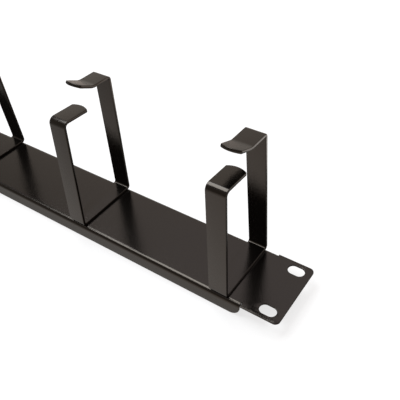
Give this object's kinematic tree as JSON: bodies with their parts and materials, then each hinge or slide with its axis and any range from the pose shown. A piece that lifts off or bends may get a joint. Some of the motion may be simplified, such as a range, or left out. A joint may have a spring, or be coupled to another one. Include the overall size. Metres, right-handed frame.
{
  "type": "rack cable management panel",
  "caption": "Folded steel rack panel with slotted ears and open rings bent from strip, which carry cable bundles along the front of a rack.",
  "frame": {"origin": "middle of the pattern of the four rack slots, on the rear face of the ears, which meets the rack's rails", "axes": "+X along the panel, +Y across it towards the rings' taller legs, +Z out of the panel's front"},
  "size_m": [0.4826, 0.0442, 0.0978],
  "materials": {
    "black_powder_coat": "satin black powder coat with a very fine texture, on cold-rolled steel sheet"
  },
  "bodies": {
    "root": {"panel": "black_powder_coat", "cable_ring_1": "black_powder_coat", "cable_ring_2": "black_powder_coat", "cable_ring_3": "black_powder_coat", "cable_ring_4": "black_powder_coat", "cable_ring_5": "black_powder_coat"}
  },
  "joints": []
}
